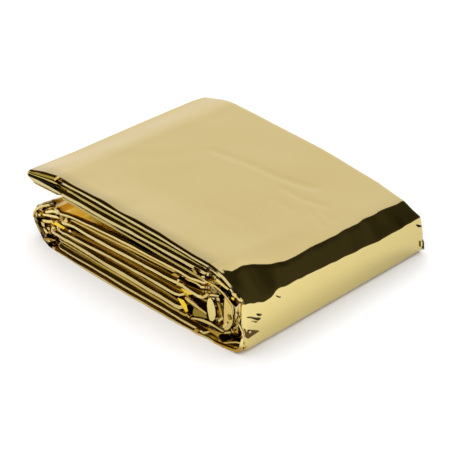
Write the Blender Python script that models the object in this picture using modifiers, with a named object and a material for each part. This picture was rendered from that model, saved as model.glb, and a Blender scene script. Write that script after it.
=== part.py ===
"""Emergency foil blanket, folded to the hand-sized packet it is sold and carried as.

The sheet is 2.1 m by 1.6 m of metallised film. Its 2.1 m side is folded over and over into a strip
as wide as the packet. The strip is then laid back and forth four times, and these four passes are
rolled up flat together: a flap on top, round the right end, along the bottom, round the left end,
back over the core, and once more round into the core. Each pass of the strip is drawn here as one
layer of the folded section, a little apart from the next.

The packet lies on its bottom run, +Z up, with its length along X and the strip's width along Y.
The front, at low Y, is looser and thicker than the back.
"""
import bpy
import numpy as np

MM = 0.001

# Driving sizes, in millimetres.
PACKET_WIDTH = 100.0
PACKET_LENGTH = 122.0
LAYER_PITCH = 1.75
LAYER_THICKNESS = 1.25

# The runs of the rolled strip, from the flap inwards. A level counts layers up from the bottom.
# "first" is the level of the outermost pass, and "step" leads to the next pass inside it. The
# flap's start and the core's end are each pass's own, in PASS_ENDS.
RUNS = (
    # name     first  step  start_x  end_x
    ("flap",    15,    -1,    None,  104.0),
    ("bottom",   0,     1,  104.0,    18.0),
    ("upper",   11,    -1,   18.0,   101.0),
    ("core",     4,     1,  101.0,    None),
)

# Where each pass, the outermost first, ends or turns back: on the flap and inside the core.
PASS_ENDS = (
    # flap_x  core_x
    (3.6,     25.0),
    (3.6,     25.0),
    (3.6,     38.0),
    (25.0,    38.0),
)

# The bend after each run but the last. "reach" is how far each pass swells past the end of its
# run, and "square" shapes its curve: 2 is an ellipse, and more is squarer.
BENDS = (
    # name          side  reach of each pass        square
    ("right end",     1, (18.8, 14.0, 12.2, 10.4),  2.1),
    ("left end",     -1, (13.4, 10.0, 6.9, 4.0),    2.1),
    ("core's end",    1, (11.4, 9.5, 7.6, 5.6),     2.2),
)

# The outermost pass is pulled tight over the right end, in a shoulder above and a heel below with
# a straight wall between them. The shoulder and the heel are shares of the bend's height.
# "back" runs from the packet's front edge, 0, to its back edge, 1.
CORNER = (
    # back  reach  shoulder  square  heel  square
    (0.00,  18.8,    0.50,    1.95,  0.24,   5.0),
    (0.13,  18.3,    0.46,    2.00,  0.15,   5.0),
    (0.28,  17.7,    0.25,    2.10,  0.11,   5.0),
    (0.50,  17.4,    0.20,    2.10,  0.11,   5.0),
    (1.00,  17.2,    0.15,    2.60,  0.11,   5.0),
)

# Where the packet's shape leaves the plain roll: a height or a factor against the place along X.
BUNDLE_FULLNESS = ((4.0, 0.84), (28.0, 0.90), (60.0, 1.05), (90.0, 1.04), (108.0, 1.0))
FLAP_UNDERSIDE = ((1.0, 24.0), (25.0, 23.4), (62.0, 22.9), (108.0, 21.0))
FLAP_FULLNESS = ((1.0, 0.60), (21.0, 1.10), (55.0, 1.07), (104.0, 1.0))
BACK_LOSS_LEFT = 0.05
BACK_LOSS_RIGHT = 0.30
BACK_LOSS_POWER = 1.3
WAVE_DEPTH = 0.012
FRONT_BULGE = 1.6
BACK_SKEW = 3.5
SKEW_REACH = 45.0
RAGGED_EDGE = 0.9

# How finely the film is drawn.
RUN_STEPS = 6
QUARTER_STEPS = 4
TURN_STEPS = 4
WIDTH_STATIONS = (0.0, 0.06, 0.14, 0.21, 0.29, 0.45, 0.65, 0.85, 1.0)

PASSES = len(PASS_ENDS)
FLAP_LEVEL = RUNS[0][1] + 1 - PASSES


def along(table, place, column=1):
    """Read one column of a table whose first column is a place, easing from row to row."""
    rows = np.array(table)
    place = float(np.clip(place, rows[0, 0], rows[-1, 0]))
    row = min(int(np.searchsorted(rows[:, 0], place, side="right")) - 1, len(rows) - 2)
    part = (place - rows[row, 0]) / (rows[row + 1, 0] - rows[row, 0])
    eased = part * part * (3.0 - 2.0 * part)
    return rows[row, column] + (rows[row + 1, column] - rows[row, column]) * eased


def level_height(level):
    """Height of a layer's middle in the plain roll."""
    return level * LAYER_PITCH + LAYER_THICKNESS / 2


def run_points(run, layer):
    """One pass's straight run, from its first point to its last."""
    name, first, step, start_x, end_x = run
    flap_x, core_x = PASS_ENDS[layer]
    if run is RUNS[0]:
        start_x = flap_x
    if run is RUNS[-1]:
        end_x = core_x
    height = level_height(first + step * layer)
    return [(x, height) for x in np.linspace(start_x, end_x, RUN_STEPS + 1)]


def bend_shape(bend, layer, back):
    """Reach, and the share of height and squareness of the curves at the bend's two ends."""
    name, side, reaches, square = bend
    if bend is BENDS[0] and layer == 0:
        return [along(CORNER, back, column) for column in range(1, 6)]
    return [reaches[layer], 0.5, square, 0.5, square]


def bend_points(bend, layer, start, end, back):
    """The rounded end of one pass between two of its runs, without its two end points."""
    side = bend[1]
    reach, first_share, first_square, last_share, last_square = bend_shape(bend, layer, back)
    height = end[1] - start[1]
    angles = [np.pi / 2 * step / (QUARTER_STEPS + 0.5) for step in range(1, QUARTER_STEPS + 1)]
    leaving, meeting = [], []
    for angle in angles:
        swell = reach * np.sin(angle) ** (2.0 / first_square)
        rise = height * first_share * (1.0 - np.cos(angle) ** (2.0 / first_square))
        leaving.append((start[0] + side * swell, start[1] + rise))
        swell = reach * np.sin(angle) ** (2.0 / last_square)
        rise = height * last_share * (1.0 - np.cos(angle) ** (2.0 / last_square))
        meeting.append((end[0] + side * swell, end[1] - rise))
    return leaving + meeting[::-1]


def pass_points(layer, back):
    """One pass of the strip, from the flap's free end in to the core."""
    points = run_points(RUNS[0], layer)
    for bend, run in zip(BENDS, RUNS[1:]):
        following = run_points(run, layer)
        points += bend_points(bend, layer, points[-1], following[0], back)
        points += following
    return points


def turn_points(start, end):
    """The half-round fold at the left where the strip turns back on itself."""
    middle = (start[1] + end[1]) / 2
    half = (start[1] - end[1]) / 2
    angles = [np.pi * step / TURN_STEPS for step in range(1, TURN_STEPS)]
    return [(start[0] - abs(half) * np.sin(a), middle + half * np.cos(a)) for a in angles]


def strip_section(back):
    """The whole strip in the X-Z plane: four passes, turning back at the core and the flap."""
    points = []
    for layer in range(PASSES):
        run = pass_points(layer, back)
        if layer % 2:
            run.reverse()
        if points:
            points += turn_points(points[-1], run[0])
        points += run
    return points


def edge_offset(station, count):
    """How far a layer's edges stand out at one station along the strip, in the Y direction."""
    place = station / count
    return RAGGED_EDGE * (0.6 * np.sin(2 * np.pi * 9.0 * place + 0.7)
                          + 0.4 * np.sin(2 * np.pi * 23.0 * place + 2.1))


def settle(x, y, z):
    """Move a point of the plain roll to its place in the real, uneven packet."""
    back = y / PACKET_WIDTH
    flap_floor = FLAP_LEVEL * LAYER_PITCH
    if z < flap_floor - (LAYER_PITCH - LAYER_THICKNESS) / 2:
        height = z * along(BUNDLE_FULLNESS, x)
    else:
        height = along(FLAP_UNDERSIDE, x) + (z - flap_floor) * along(FLAP_FULLNESS, x)
    loss = BACK_LOSS_LEFT + BACK_LOSS_RIGHT * max(x / PACKET_LENGTH, 0.0) ** BACK_LOSS_POWER
    height *= 1.0 - loss * back
    height *= 1.0 + WAVE_DEPTH * np.sin(x / 17.0 + 1.4 * back) * np.sin(2.6 * back + x / 60.0)
    middle = 4.0 * (x / PACKET_LENGTH) * (1.0 - x / PACKET_LENGTH)
    bulge = FRONT_BULGE * max(middle, 0.0) * max(1.0 - 2.0 * back, 0.0)
    skew = BACK_SKEW * back * max(1.0 - x / SKEW_REACH, 0.0)
    return x - skew, y - bulge, height


def film_material():
    """Polyester film with a thin gold-coloured metal coat: bright, warm and mirror-like."""
    material = bpy.data.materials.new("gold_metallised_film")
    material.use_nodes = True
    shader = material.node_tree.nodes["Principled BSDF"]
    shader.inputs["Base Color"].default_value = (0.69, 0.57, 0.28, 1.0)
    shader.inputs["Metallic"].default_value = 1.0
    shader.inputs["Roughness"].default_value = 0.16
    return material


def strip_surface(name):
    """The strip's middle surface: one section of the folds for each station across the width."""
    sections = [strip_section(back) for back in WIDTH_STATIONS]
    count = len(sections[0])
    across = len(WIDTH_STATIONS)
    vertices = []
    for station in range(count):
        shift = edge_offset(station, count)
        for back, section in zip(WIDTH_STATIONS, sections):
            x, z = section[station]
            vertices.append((x, back * PACKET_WIDTH + shift * (1.0 - 2.0 * back), z))
    faces = []
    for station in range(count - 1):
        for column in range(across - 1):
            corner = station * across + column
            faces.append((corner, corner + 1, corner + across + 1, corner + across))
    mesh = bpy.data.meshes.new(name)
    mesh.from_pydata(vertices, [], faces)
    mesh.update()
    return mesh


def foil_blanket(collection):
    """The folded blanket as one solid."""
    blanket = bpy.data.objects.new("foil_blanket", strip_surface("foil_blanket"))
    collection.objects.link(blanket)
    bpy.context.view_layer.objects.active = blanket
    blanket.select_set(True)

    thickness = blanket.modifiers.new("Thickness", "SOLIDIFY")
    thickness.thickness = LAYER_THICKNESS
    thickness.offset = 0.0
    thickness.use_even_offset = True
    bpy.ops.object.modifier_apply(modifier=thickness.name)

    settled = np.array([settle(*vertex.co) for vertex in blanket.data.vertices])
    lowest, highest = settled.min(axis=0), settled.max(axis=0)
    origin = np.array([(lowest[0] + highest[0]) / 2, (lowest[1] + highest[1]) / 2, lowest[2]])
    blanket.data.vertices.foreach_set("co", ((settled - origin) * MM).ravel())
    blanket.data.update()
    blanket.data.materials.append(film_material())
    return blanket


def main():
    for leftover in list(bpy.data.objects):
        bpy.data.objects.remove(leftover)
    collection = bpy.data.collections.new("foil_blanket")
    bpy.context.scene.collection.children.link(collection)
    foil_blanket(collection)


main()
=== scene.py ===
"""Looks for the folded emergency foil blanket: its film, its studio and its camera.

The blanket is one sheet of gold metallised film. Its long side is folded over and over into a
strip, the strip is laid in four passes, and the passes are rolled up flat. Every size of the roll
is in millimetres, in the roll's own frame, and turns to the CAD's metres in FoldedFilm.
"""
import logging
import math
from dataclasses import dataclass, field
from enum import Enum

import bpy
import numpy as np
from mathutils import Matrix, Vector, geometry


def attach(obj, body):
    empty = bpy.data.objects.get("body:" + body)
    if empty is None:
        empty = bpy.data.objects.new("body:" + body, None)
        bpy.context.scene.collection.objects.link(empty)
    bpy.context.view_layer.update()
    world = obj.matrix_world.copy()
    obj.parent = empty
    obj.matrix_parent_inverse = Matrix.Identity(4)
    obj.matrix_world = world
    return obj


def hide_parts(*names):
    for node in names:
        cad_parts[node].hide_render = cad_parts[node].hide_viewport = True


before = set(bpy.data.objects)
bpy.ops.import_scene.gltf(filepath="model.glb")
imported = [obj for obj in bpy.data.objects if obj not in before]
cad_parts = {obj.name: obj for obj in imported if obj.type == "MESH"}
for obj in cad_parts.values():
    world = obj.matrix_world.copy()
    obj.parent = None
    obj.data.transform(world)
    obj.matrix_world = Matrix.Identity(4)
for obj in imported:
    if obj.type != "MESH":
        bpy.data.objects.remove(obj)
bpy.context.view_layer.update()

MM = 0.001
NODE = "foil_blanket"

# How far a millimetre of depth moves a point across and up, as the camera sees it against the
# plane of the packet's front.
SEEN_X = 1.016
SEEN_Z = 0.8375

logging.basicConfig(level=logging.INFO, format="%(message)s")
LOG = logging.getLogger("foil_blanket")


def linear(hex_colour: str) -> tuple[float, float, float, float]:
    """Turn an sRGB hex colour into Blender's linear colour.

    Args:
        hex_colour: Six hex digits, such as "d9c68f".

    Returns:
        Linear red, green, blue and an alpha of one.
    """
    channels = [int(hex_colour[place:place + 2], 16) / 255 for place in (0, 2, 4)]
    bent = [c / 12.92 if c <= 0.04045 else ((c + 0.055) / 1.055) ** 2.4 for c in channels]
    return (*bent, 1.0)


def add_node(tree: bpy.types.NodeTree, kind: str, settings: dict | None = None,
             inputs: dict | None = None) -> bpy.types.Node:
    """Add one node with its settings and its inputs.

    Args:
        tree: The node tree that takes the node.
        kind: Blender's name of the node's type.
        settings: Properties of the node.
        inputs: A value, or another node's output, for each input by its name or number.

    Returns:
        The new node.
    """
    node = tree.nodes.new(kind)
    for name, value in (settings or {}).items():
        setattr(node, name, value)
    for name, value in (inputs or {}).items():
        if isinstance(value, bpy.types.NodeSocket):
            tree.links.new(value, node.inputs[name])
        else:
            node.inputs[name].default_value = value
    return node


def ramp(place: np.ndarray, start: float, end: float) -> np.ndarray:
    """How far places lie on the way from a start, 0, to an end, 1."""
    return np.clip((place - start) / (end - start), 0.0, 1.0)


def smooth(share: np.ndarray) -> np.ndarray:
    """Ease a share between 0 and 1 in and out."""
    return share * share * (3.0 - 2.0 * share)


def unit(vectors: np.ndarray) -> np.ndarray:
    """Vectors shortened or stretched to a length of one."""
    return vectors / np.linalg.norm(vectors, axis=-1, keepdims=True)


def distances(points: np.ndarray) -> np.ndarray:
    """How far along a line of points each one lies."""
    return np.concatenate([[0.0], np.cumsum(np.linalg.norm(np.diff(points, axis=0), axis=1))])


def outline_points(text: str) -> np.ndarray:
    """Read an outline written as "x,z x,z x,z" into rows of points."""
    return np.array([pair.split(",") for pair in text.split()], float)


def eased(table: tuple, place: np.ndarray, column: int = 1) -> np.ndarray:
    """Read one column of a table whose first column is a place, easing from row to row.

    Args:
        table: Rows of numbers, in rising order of their first column.
        place: Where to read the table.
        column: Which column to read.

    Returns:
        The values at those places.
    """
    rows = np.array(table, float)
    row = np.clip(np.searchsorted(rows[:, 0], place, side="right") - 1, 0, len(rows) - 2)
    part = smooth(ramp(place, rows[row, 0], rows[row + 1, 0]))
    return rows[row, column] + (rows[row + 1, column] - rows[row, column]) * part


def wander(seed: int, place: np.ndarray, spacing: float) -> np.ndarray:
    """A smooth, repeatable wandering between -1 and 1.

    Args:
        seed: Which wandering to give.
        place: Distances along it.
        spacing: Distance between its independent values.

    Returns:
        The wandering's value at each distance.
    """
    place = place / spacing
    knots = np.random.default_rng(seed).uniform(-1.0, 1.0, int(place.max()) + 4)
    low = np.floor(place).astype(int)
    part = smooth(place - low)
    return knots[low] * (1.0 - part) + knots[low + 1] * part


def kinks(seed: int, place: np.ndarray, spacing: float) -> np.ndarray:
    """A repeatable zigzag between -1 and 1, with sharp corners uneven distances apart.

    Args:
        seed: Which zigzag to give.
        place: Distances along it.
        spacing: Mean distance between its corners.

    Returns:
        The zigzag's value at each distance.
    """
    generator = np.random.default_rng(seed)
    count = int(place.max() / (0.5 * spacing)) + 8
    knots = np.cumsum(generator.uniform(0.35, 1.65, count)) * spacing - spacing
    return np.interp(place, knots, generator.uniform(-1.0, 1.0, count))


class Tone(Enum):
    """The film's colours, as sRGB hex: the bare film's own, and painted shade and painted reflections for
    film deep in a fold.

    Between two layers the light strikes the film several times, and each time it loses blue
    first and then green: it turns from pale gold to amber, olive, brown and nearly black.
    Every tone but BARE paints that light and shade into the film's colour.
    """

    BARE = "d1c07f"
    PALE = "bfb178"
    DUSK = "a39450"
    STRAW = "b9a352"
    HONEY = "b0903a"
    AMBER = "e6c634"
    GOLD = "b08c30"
    OLIVE = "8f7a30"
    BROWN = "5a4013"
    DARK = "1e1405"

    @property
    def colour(self) -> np.ndarray:
        """The tone as a linear colour."""
        return np.array(linear(self.value))


class Region(Enum):
    """The stretches of one pass of the rolled strip, from the flap inwards."""

    FLAP = 0
    RIGHT_END = 1
    BOTTOM = 2
    LEFT_END = 3
    UPPER = 4
    CORE_END = 5
    CORE = 6
    TURN = 7


STRAIGHT = (Region.FLAP, Region.BOTTOM, Region.UPPER, Region.CORE)


@dataclass(frozen=True)
class Run:
    """One straight run of the roll. Its level counts layers up from the bottom."""

    region: Region
    first_level: int
    step: int
    start_x: float
    end_x: float


@dataclass(frozen=True)
class Bend:
    """The rounded end between two runs of the roll, with the reach of each pass past them."""

    region: Region
    side: int
    reaches: tuple[float, ...]
    square: float


@dataclass
class Roll:
    """The strip's path: four passes rolled up flat, settled to the uneven packet.

    The sizes are those of the CAD part, in millimetres. A place "back" runs from the packet's
    front edge, 0, to its back edge, 1. Each row of "shoulder" gives, at one back place, where
    the outermost pass starts its bevel, where its crease lies (both as x and z) and the wall's x.
    Each row of "heel" is a corner below the wall: how far inside it lies, how much further where
    the front is tucked in, its height, and how much higher there. A trough is the points of its
    line, then its depth and its width. A corner that is pulled in has its span along and across.
    """

    width: float = 100.0
    length: float = 122.0
    pitch: float = 1.75
    solid_thickness: float = 1.25
    origin: tuple[float, float, float] = (60.997, 49.2, 0.0)
    runs: tuple[Run, ...] = (
        Run(Region.FLAP, 15, -1, 3.6, 104.0),
        Run(Region.BOTTOM, 0, 1, 104.0, 18.0),
        Run(Region.UPPER, 11, -1, 18.0, 101.0),
        Run(Region.CORE, 4, 1, 101.0, 25.0),
    )
    bends: tuple[Bend, ...] = (
        Bend(Region.RIGHT_END, 1, (18.8, 14.0, 12.2, 10.4), 2.1),
        Bend(Region.LEFT_END, -1, (13.4, 10.0, 6.9, 4.0), 2.1),
        Bend(Region.CORE_END, 1, (11.4, 9.5, 7.6, 5.6), 2.2),
    )
    flap_ends: tuple[float, ...] = (3.6, 3.6, 3.6, 25.0)
    core_ends: tuple[float, ...] = (18.5, 18.5, 21.5, 21.5)
    shoulder: tuple = (
        (0.000, 110.8, 24.8, 121.0, 20.4, 122.4),
        (0.025, 111.2, 25.5, 121.0, 19.8, 122.4),
        (0.060, 111.9, 26.4, 121.1, 18.5, 122.4),
        (0.105, 111.5, 26.7, 121.2, 17.3, 122.4),
        (0.145, 112.4, 26.4, 121.3, 17.8, 122.4),
        (0.172, 114.4, 26.1, 121.3, 20.1, 122.5),
        (0.215, 116.9, 25.7, 121.3, 19.4, 122.5),
        (0.280, 117.6, 25.6, 121.3, 19.5, 122.5),
        (0.370, 117.2, 25.9, 121.3, 19.7, 122.5),
        (0.520, 116.2, 26.3, 121.2, 20.0, 122.5),
        (0.620, 115.4, 26.5, 121.2, 20.2, 122.5),
        (0.750, 114.4, 26.6, 121.2, 20.2, 122.5),
        (0.850, 113.8, 26.6, 121.2, 21.4, 122.5),
        (0.920, 113.6, 26.6, 121.2, 22.3, 122.5),
        (1.000, 113.4, 26.6, 121.0, 22.8, 122.5),
    )
    heel: tuple = ((0.8, 0.1, 2.5, 0.8), (1.7, 0.8, 1.05, 0.4), (5.0, 2.0, 0.63, 0.0))
    tuck_depth: float = 3.0
    corner_softness: tuple[float, ...] = (1.5, 0.45, 4.0, 0.9, 0.6, 1.6)
    corner_spacing: float = 0.75
    bundle_fullness: tuple = ((4.0, 0.84), (28.0, 0.90), (60.0, 1.05), (90.0, 1.04), (108.0, 1.0))
    flap_underside: tuple = ((1.0, 24.0), (25.0, 23.4), (62.0, 22.9), (108.0, 21.0))
    flap_fullness: tuple = ((1.0, 0.60), (21.0, 1.10), (55.0, 1.07), (104.0, 1.0))
    back_loss: tuple[float, float, float] = (0.04, 0.26, 1.3)
    lift: tuple = ((0.0, 1.010), (20.0, 1.015), (60.0, 1.033), (104.0, 1.055), (122.0, 1.050))
    wave_depth: float = 0.012
    front_bulge: float = 1.6
    back_skew: float = 3.5
    skew_reach: float = 45.0
    right_corner: tuple = ((98.0, 118.0), (78.0, 100.0))
    right_pull: float = 2.4
    left_corner: tuple = ((14.0, 0.0), (88.0, 100.0))
    left_pull: tuple[float, float] = (2.2, 3.0)
    troughs: tuple = (
        ((42.0, 63.3), (47.9, 64.6), (59.7, 66.8), (72.0, 68.3), (80.5, 70.7), (87.5, 74.5),
         0.30, 1.7),
        ((80.4, 63.7), (89.5, 63.9), (99.3, 67.3), 0.26, 1.5),
        ((84.9, 54.8), (93.9, 54.7), 0.12, 1.6),
        ((98.1, 60.2), (108.2, 55.8), 0.15, 1.3),
        ((100.0, 63.6), (107.9, 61.7), 0.14, 1.3),
        ((100.0, 30.0), (88.0, 34.0), (74.0, 30.0), 0.12, 3.0),
        ((20.0, 30.0), (34.0, 42.0), (40.0, 58.0), 0.10, 4.0),
    )
    dense: int = 120
    backs: np.ndarray = field(default_factory=lambda: np.linspace(0.0, 1.0, 81))

    def level(self, height: np.ndarray) -> np.ndarray:
        """The level of the layer whose middle lies at a height of the plain roll."""
        return (height - self.solid_thickness / 2) / self.pitch

    def bulge(self, x: np.ndarray) -> np.ndarray:
        """How far the packet's front edge swells forward at each place along it."""
        along = x / self.length
        return self.front_bulge * np.maximum(4.0 * along * (1.0 - along), 0.0)

    def run_line(self, run: Run, layer: int) -> np.ndarray:
        """One pass's straight run as a dense line for each back place.

        Args:
            run: The run.
            layer: The pass, 0 for the outermost.

        Returns:
            Points as an array of backs by steps by (x, z).
        """
        start = self.flap_ends[layer] if run.region is Region.FLAP else run.start_x
        end = self.core_ends[layer] if run.region is Region.CORE else run.end_x
        xs = np.linspace(start, end, self.dense)
        height = (run.first_level + run.step * layer) * self.pitch + self.solid_thickness / 2
        line = np.stack([xs, np.full_like(xs, height)], 1)
        return np.repeat(line[None], len(self.backs), 0)

    def bend_line(self, bend: Bend, layer: int, start: np.ndarray, end: np.ndarray) -> np.ndarray:
        """One pass's rounded end as a dense line for each back place.

        Args:
            bend: The bend.
            layer: The pass, 0 for the outermost.
            start: Where each line starts, backs by (x, z).
            end: Where each line ends.

        Returns:
            Points as an array of backs by steps by (x, z).
        """
        if layer == 0 and bend.region is Region.RIGHT_END:
            return self.shoulder_line(start, end)
        angle = np.linspace(0.0, np.pi / 2, self.dense)[None]
        swell = bend.side * bend.reaches[layer] * np.sin(angle) ** (2.0 / bend.square)
        climb = (end - start)[:, 1:] / 2 * (1.0 - np.cos(angle) ** (2.0 / bend.square))
        leaving = np.stack([start[:, :1] + swell, start[:, 1:] + climb], 2)
        meeting = np.stack([end[:, :1] + swell, end[:, 1:] - climb], 2)
        return np.concatenate([leaving, meeting[:, ::-1]], 1)

    def shoulder_line(self, start: np.ndarray, end: np.ndarray) -> np.ndarray:
        """The outermost pass pulled over the right end: a bevel, a sharp crease, a wall, a heel.

        Args:
            start: Where each line leaves the flap, backs by (x, z).
            end: Where each line meets the bottom run.

        Returns:
            Points as an array of backs by steps by (x, z), one row of them on the crease.
        """
        bevel_x, bevel_z, crease_x, crease_z, wall_x = [
            eased(self.shoulder, self.backs, column) for column in range(1, 6)]
        y = self.backs * self.width
        ragged = np.interp(y, (0.0, 12.0, 24.0), (0.8, 0.9, 0.7))
        bevel_x = bevel_x + ragged * (0.7 * kinks(31, y, 5.0) + 0.5 * kinks(32, y, 2.4))
        crease_z = crease_z + np.interp(y, (10.0, 24.0), (0.14, 0.32)) * kinks(33, y, 3.0)
        tuck = ramp(y, self.tuck_depth, 0.0)
        turns = [(bevel_x, bevel_z), (crease_x, crease_z), (wall_x - 0.6, 0.55 * crease_z)]
        turns += [(wall_x - inside - more_inside * tuck, height + higher * tuck)
                  for inside, more_inside, height, higher in self.heel]
        corners = [start, *[np.stack(turn, 1) for turn in turns], end]
        pieces: list[np.ndarray] = []
        for place, softness in enumerate(self.corner_softness, 1):
            before, corner, after = corners[place - 1:place + 2]
            first = corner + unit(before - corner) * softness
            last = corner + unit(after - corner) * softness
            leave = pieces[-1][:, -1] if pieces else start
            reach = float(np.linalg.norm(first - leave, axis=1).mean())
            step = np.linspace(0.0, 1.0, max(2, round(reach / self.corner_spacing)))[:, None]
            pieces.append(leave[:, None] * (1.0 - step) + first[:, None] * step)
            step = np.linspace(0.0, 1.0, 7)[2:, None]
            pieces.append(first[:, None] * (1.0 - step) ** 2 + last[:, None] * step ** 2
                          + corner[:, None] * 2.0 * step * (1.0 - step))
        step = np.linspace(0.0, 1.0, 8)[1:, None]
        pieces.append(pieces[-1][:, -1:] * (1.0 - step) + end[:, None] * step)
        return np.concatenate(pieces, 1)

    def turn_line(self, start: np.ndarray, end: np.ndarray) -> np.ndarray:
        """The half-round fold at the left where the strip turns back on itself.

        Args:
            start: Where each line leaves one pass, backs by (x, z).
            end: Where each line meets the next pass.

        Returns:
            Points as an array of backs by steps by (x, z).
        """
        angle = np.linspace(0.0, np.pi, self.dense)[None]
        middle = ((start + end) / 2)[:, None]
        half = (start[:, 1] - end[:, 1])[:, None] / 2
        xs = start[:, :1] - np.abs(half) * np.sin(angle)
        return np.stack([xs, middle[:, :, 1] + half * np.cos(angle)], 2)

    def settle(self, x: np.ndarray, y: np.ndarray, z: np.ndarray,
               middle: np.ndarray) -> np.ndarray:
        """Move points of the plain roll to their places in the real, uneven packet.

        Args:
            x: Places along the packet.
            y: Places across it, from the front edge.
            z: Heights in the plain roll.
            middle: The height there of the layer's own middle, which tells flap from bundle.

        Returns:
            The settled points, one row each.
        """
        back = y / self.width
        flap_floor = (self.runs[0].first_level + 1 - len(self.flap_ends)) * self.pitch
        in_bundle = middle < flap_floor - (self.pitch - self.solid_thickness) / 2
        bundle = z * eased(self.bundle_fullness, x)
        flap = (eased(self.flap_underside, x)
                + (z - flap_floor) * eased(self.flap_fullness, x))
        height = np.where(in_bundle, bundle, flap) * eased(self.lift, x)
        least, more, power = self.back_loss
        height *= 1.0 - (least + more * np.maximum(x / self.length, 0.0) ** power) * back
        height *= (1.0 + self.wave_depth * np.sin(x / 17.0 + 1.4 * back)
                   * np.sin(2.6 * back + x / 60.0))
        height += np.where(in_bundle, 0.0, self.dimples(x, y))
        skew = self.back_skew * back * np.maximum(1.0 - x / self.skew_reach, 0.0)
        right, left = [ramp(x, *along) * ramp(y, *across)
                       for along, across in (self.right_corner, self.left_corner)]
        pull = (self.right_pull * right * np.clip(height / 19.0, 0.0, 1.2) ** 1.5
                + self.left_pull[1] * left ** 1.5)
        bulge = self.bulge(x) * np.maximum(1.0 - 2.0 * back, 0.0)
        return np.stack([x - skew + self.left_pull[0] * left ** 2, y - bulge - pull, height], -1)

    def dimples(self, x: np.ndarray, y: np.ndarray) -> np.ndarray:
        """The flap's soft unevenness and shallow troughs.

        Args:
            x: Places along the packet.
            y: Places across it.

        Returns:
            What they add to the flap's height at each place.
        """
        soft = (0.060 * np.sin(x / 7.1 + 0.9 * np.sin(y / 13.0)) * np.sin(y / 10.3 + 1.1)
                + 0.035 * np.sin((x + 0.7 * y) / 4.6 + 2.0) * np.sin((0.8 * x - y) / 9.0)
                + 0.030 * np.sin((x - 1.3 * y) / 6.3 + 0.4))
        for *line, depth, width in self.troughs:
            nearest = np.full(np.shape(x), np.inf)
            for (ax, ay), (bx, by) in zip(line, line[1:]):
                length = (bx - ax) ** 2 + (by - ay) ** 2
                share = np.clip(((x - ax) * (bx - ax) + (y - ay) * (by - ay)) / length, 0.0, 1.0)
                nearest = np.minimum(nearest, np.hypot(x - ax - share * (bx - ax),
                                                       y - ay - share * (by - ay)))
            soft = soft - depth * np.exp(-(nearest / width) ** 2)
        return soft * ramp(y, 2.0, 10.0) * ramp(x, 4.0, 12.0) * ramp(x, 114.0, 108.0)


@dataclass
class Rows:
    """The strip's path cut into rows: its middle line and its normal at each back place."""

    line: np.ndarray
    normal: np.ndarray
    layer: np.ndarray
    region: np.ndarray
    distance: np.ndarray

    def lie_in(self, *regions: Region, layers: tuple[int, ...] = (0, 1, 2, 3)) -> np.ndarray:
        """Whether each row lies in one of some stretches, on one of some passes."""
        values = [region.value for region in regions]
        return np.isin(self.region, values) & np.isin(self.layer, layers)


@dataclass(frozen=True)
class EdgeLine:
    """One layer's folded front edge along a straight run.

    "seen" is its middle's height at each of EDGE_STATIONS, as the camera sees it. "front" is how
    far the fold stands back from the strip's edge. The fold has an upright face, "half" of it
    above and below that middle, and above it a bevel of that height.
    """

    seen: tuple[float, ...]
    front: float
    half: float
    bevel: float
    # its tone is the painted shade of this layer's front edge
    tone: Tone = Tone.BARE


@dataclass(frozen=True)
class Fold:
    """One flattened fold of film in a crushed end.

    The outline is as the camera sees it, "depth" how far back the fold's middle lies, and
    "climb" and "swing" how much deeper it gets for each millimetre up and to the right.
    """

    outline: str
    depth: float
    # painted shade and painted reflections of the fold; a BARE fold off the wall gets a painted highlight
    tone: Tone = Tone.BARE
    climb: float = 0.0
    swing: float = 0.0


@dataclass(frozen=True)
class Crush:
    """A patch of finely crumpled film that fills the space behind the folds of a crushed end."""

    outline: str
    seed: int
    lean: float
    along: float
    across: float
    depths: tuple[float, float]
    # painted shade and painted reflections, one drawn at random for each facet
    tones: tuple[Tone, ...]


@dataclass(frozen=True)
class Retreat:
    """Where the front edges of some passes step back behind the crushed folds of an end."""

    region: Region
    layers: tuple[int, ...]
    start: float
    end: float
    depth: float
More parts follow.
